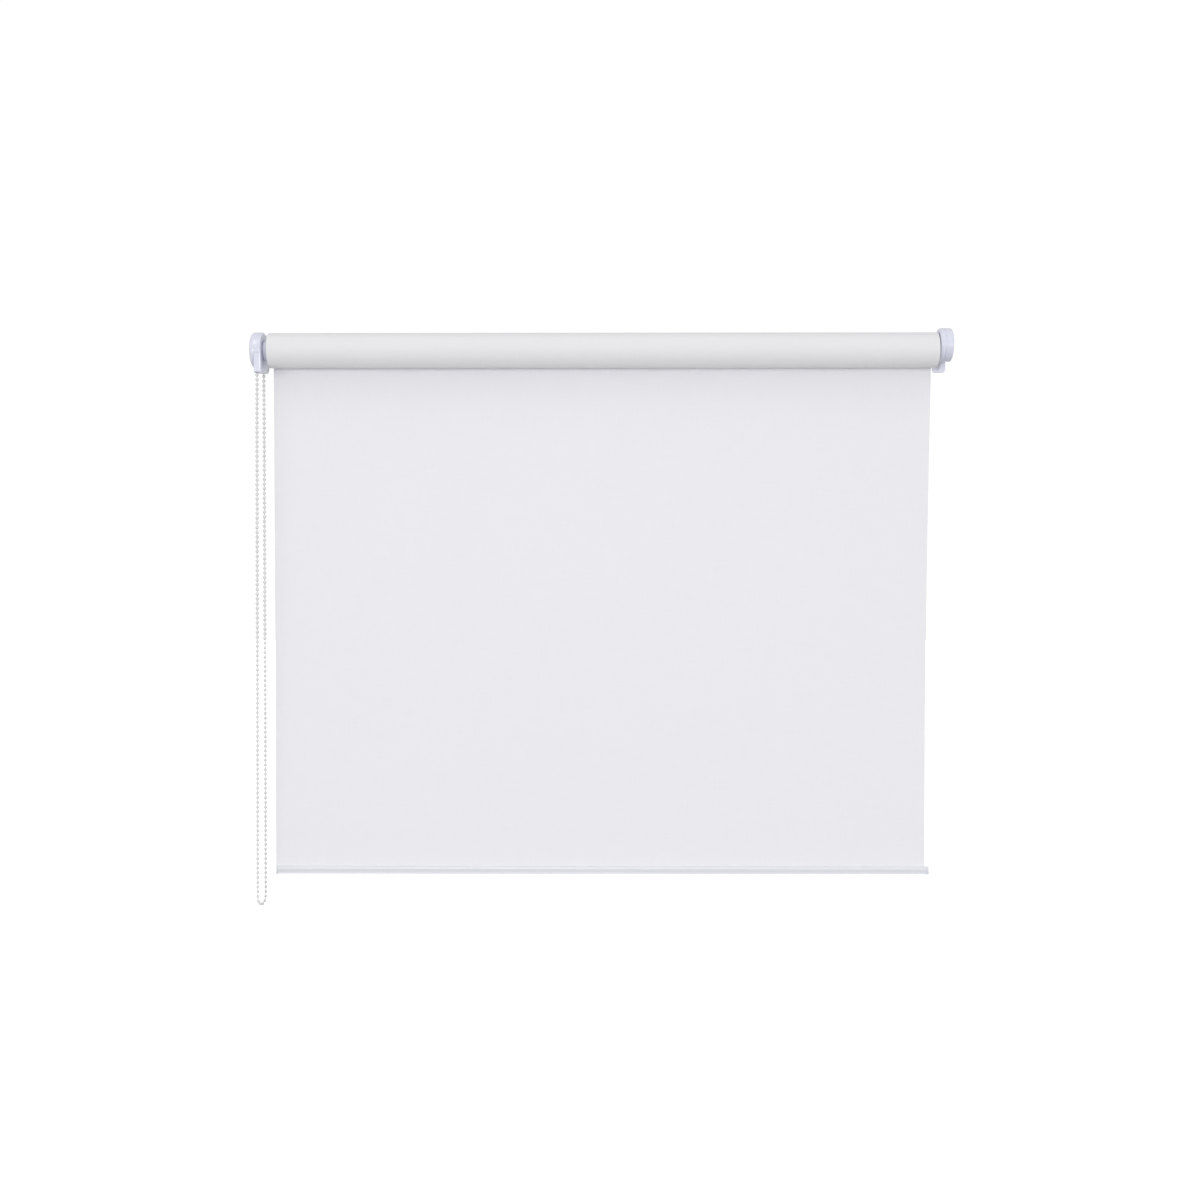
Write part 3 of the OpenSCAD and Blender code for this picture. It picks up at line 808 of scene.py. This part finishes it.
def buildRightCover():
    # a rounded front hides the plate's rim, and a groove parts it from the cap behind
    r, w, lipR, mouth = right["radius"], right["wall"], right["lipRadius"], right["mouth"]
    x0, x1 = right["lip"], right["cap"]
    seam = right["plate"] + 1.2 * mm
    profile = [(0, x1), (r, x1), (r, seam + 0.5 * mm), (r - 0.6 * mm, seam + 0.25 * mm),
               (lipR, seam), (lipR, x0), (mouth, x0), (mouth, x0 + w), (r - w, x0 + w),
               (r - w, x1 - w), (0, x1 - w)]
    radii = [0, right["edge"], 0.1 * mm, 0, 0.5 * mm, 3 * mm, 0.4 * mm, 0, 1.4 * mm, 1 * mm, 0]
    cover = lathe("rightCover", roundCorners(profile, radii, 8), right["up"])
    # way in for the arm
    gap = 0.1 * mm
    cut(cover, block((right["plate"] - gap, axisY + 3.5 * mm, -30 * mm),
                     (right["plate"] + right["plateThick"] + gap, 5 * mm, 40 * mm)))
    return softenEdges(cover, 0.12 * mm, 2, 50)


def buildBush():
    plate, x0, x1 = right["plate"], right["plate"] - 1.2 * mm, right["bushEnd"]
    hole, body, rim = right["bushHole"], right["bushRadius"], right["bushRim"]
    profile = [(hole, x0), (rim, x0), (rim, plate), (body, plate), (body, x1),
               (0, x1), (0, x1 - 1 * mm), (hole, x1 - 1 * mm)]
    return lathe("pinBush", roundCorners(profile, [0.3 * mm, 0.4 * mm, 0, 0, 0.3 * mm, 0, 0, 0], 4), 0, 64)


place(buildRightBracket(), "powderCoat", "white_metal", "root", "right_bracket")
place(buildRightCover(), "whitePlastic", "white_plastic", "root", "right_cover")
place(buildBush(), "whitePlastic", "white_plastic", "root", "pin_bush")
print("right end built")


# bottom rail

railLow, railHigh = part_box("bottom_rail")
rail = {"half": railHigh[0], "top": railHigh[2],
        "middleY": (railLow[1] + railHigh[1]) / 2, "middleZ": (railLow[2] + railHigh[2]) / 2,
        "halfHeight": (railHigh[2] - railLow[2]) / 2, "halfDepth": (railHigh[1] - railLow[1]) / 2,
        "power": 0.75, "slot": 0.6 * mm, "slotDeep": 4 * mm, "cap": 2 * mm, "capProud": 0.35 * mm}


def railOutline(count=72):
    # a rounded block, a little proud of the extrusion
    deep, tall = rail["halfDepth"] + rail["capProud"], rail["halfHeight"] + rail["capProud"]
    result = []
    for k in range(count):
        a = 2 * math.pi * (k + 0.5) / count
        c, s = math.cos(a), math.sin(a)
        result.append((rail["middleY"] + deep * math.copysign(abs(c) ** rail["power"], c),
                       rail["middleZ"] + tall * math.copysign(abs(s) ** rail["power"], s)))
    return result


# the drawn profile, front first: a full brow, a face that leans back under it and a small lip
railProfile = [(1.2, 5.0, 1.0), (4.6, 2.6, 1.1), (2.7, -2.9, 0.5), (3.0, -3.5, 0.3), (3.0, -4.8, 0.7),
               (1.8, -5.0, 0.8), (-2.2, -5.0, 1.2), (-4.4, -3.2, 1.8), (-4.5, 3.0, 1.8), (-2.2, 5.0, 1.4)]


def drawnRail():
    points = [(rail["middleY"] - y * mm, rail["middleZ"] + z * mm) for y, z, r in railProfile]
    return roundCorners(points, [r * mm for y, z, r in railProfile], 6)


def buildRail():
    half, middle, slot, top = rail["half"], rail["middleY"], rail["slot"], rail["top"]
    bar = prism("bottomRail", drawnRail(), -half, half)
    cut(bar, block((-half - 1 * mm, middle - slot, top - rail["slotDeep"]),
                   (half + 1 * mm, middle + slot, top + 1 * mm)))
    return softenEdges(bar, 0.15 * mm, 2, 40)


def buildRailCap(name, side):
    x0, x1 = sorted((side * rail["half"], side * (rail["half"] + rail["cap"])))
    middle, slot = rail["middleY"], rail["slot"]
    cap = prism(name, railOutline(), x0, x1)
    # the cloth's edge runs out through the cap
    cut(cap, block((x0 - 1 * mm, middle - slot, rail["middleZ"]),
                   (x1 + 1 * mm, middle + slot, rail["top"] + 1 * mm)))
    return softenEdges(cap, 0.4 * mm, 3, 40)


place(buildRail(), "railCoat", "rail_metal", "rail", "bottom_rail")
place(buildRailCap("railCapLeft", -1), "railCoat", "white_plastic", "rail", "rail_cap_left")
place(buildRailCap("railCapRight", 1), "railCoat", "white_plastic", "rail", "rail_cap_right")
print("bottom rail built")


# inner pieces keep their own shape

innerFinish = {
    "clutch_hub": "whitePlastic", "hub_screw": "zincSteel", "hub_clip": "zincSteel",
    "brake_spring_outer": "zincSteel", "brake_spring_inner": "zincSteel", "drive_sleeve": "greyPlastic",
    "tube": "millTube", "fabric_tape": "adhesive", "end_plug": "greyPlastic",
    "spring_seat": "greyPlastic", "pin_spring": "zincSteel", "idle_pin": "zincSteel",
    "hem_spline": "whitePlastic"}
for name, finishName in innerFinish.items():
    dress(nodes[name], finishName)

print("inner pieces dressed:", len(innerFinish))

# the pin's spring as an object of its own with its own mesh; the real spring shortens as the pin goes in
spring = bpy.data.objects.new("pinSpring", nodes["pin_spring"].data.copy())
spring.matrix_world = nodes["pin_spring"].matrix_world.copy()
scene.collection.objects.link(spring)
closeMesh(spring, 1e-6)
smoothShade(spring, 60)
place(spring, "zincSteel", "steel", "roller", "pin_spring")
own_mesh(spring)


# floor, light

studio = {"floor": -1.15, "wide": 20, "above": 0.72, "below": 0.26, "fadeFrom": -0.3, "fadeTo": -0.95,
          "backdrop": 1.03, "middle": (0, 0, -0.3), "rollerLevel": (0, 0, -0.22)}
wide = studio["wide"]
floor = block((-wide, -wide, studio["floor"] - 0.01), (wide, wide, studio["floor"]))
floor.name = "floor"
floor.visible_diffuse = floor.visible_glossy = floor.visible_shadow = False
paint = bpy.data.materials.new("floorPaint")
paint.use_nodes = True
white = paint.node_tree.nodes["Principled BSDF"]
white.inputs["Base Color"].default_value = (0.9, 0.9, 0.9, 1)
white.inputs["Emission Color"].default_value = (1, 1, 1, 1)
white.inputs["Emission Strength"].default_value = 0.8
floor.data.materials.append(paint)

# light from all round that fades underneath; the camera sees plain white
world = bpy.data.worlds.new("studio")
scene.world = world
world.use_nodes = True
tree = world.node_tree
sky = tree.nodes["Background"]
seen = tree.nodes.new("ShaderNodeBackground")
seen.inputs["Color"].default_value = (1, 1, 1, 1)
seen.inputs["Strength"].default_value = studio["backdrop"]
direction = tree.nodes.new("ShaderNodeTexCoord")
upward = tree.nodes.new("ShaderNodeSeparateXYZ")
fade = tree.nodes.new("ShaderNodeMapRange")
fade.interpolation_type = "SMOOTHSTEP"
for label, value in (("From Min", studio["fadeTo"]), ("From Max", studio["fadeFrom"]),
                     ("To Min", studio["below"]), ("To Max", studio["above"])):
    fade.inputs[label].default_value = value
which = tree.nodes.new("ShaderNodeLightPath")
mix = tree.nodes.new("ShaderNodeMixShader")
sky.inputs["Color"].default_value = (1, 1, 1, 1)
tree.links.new(direction.outputs["Generated"], upward.inputs[0])
tree.links.new(upward.outputs["Z"], fade.inputs["Value"])
tree.links.new(fade.outputs["Result"], sky.inputs["Strength"])
tree.links.new(which.outputs["Is Camera Ray"], mix.inputs[0])
tree.links.new(sky.outputs[0], mix.inputs[1])
tree.links.new(seen.outputs[0], mix.inputs[2])
tree.links.new(mix.outputs[0], tree.nodes["World Output"].inputs["Surface"])


def softbox(name, turn, rise, distance, size, power, middle):
    lamp = bpy.data.objects.new(name, bpy.data.lights.new(name, "AREA"))
    lamp.data.energy = power
    lamp.data.shape = "RECTANGLE"
    lamp.data.size, lamp.data.size_y = size
    level = distance * math.cos(math.radians(rise))
    lamp.location = (middle[0] + level * math.sin(math.radians(turn)), -level * math.cos(math.radians(turn)),
                     middle[2] + distance * math.sin(math.radians(rise)))
    aim = Vector(middle) - lamp.location
    lamp.rotation_euler = aim.to_track_quat("-Z", "Y").to_euler()
    scene.collection.objects.link(lamp)


softbox("key", -30, 50, 3.2, (0.3, 1.4), 4, studio["middle"])
softbox("fillLeft", -32, 0, 3.2, (1.0, 0.5), 9, studio["rollerLevel"])
softbox("fillRight", 32, 0, 3.2, (1.0, 0.5), 9, studio["rollerLevel"])
softbox("front", 0, 1, 3.2, (1.2, 0.5), 16, studio["rollerLevel"])
print("studio lit")
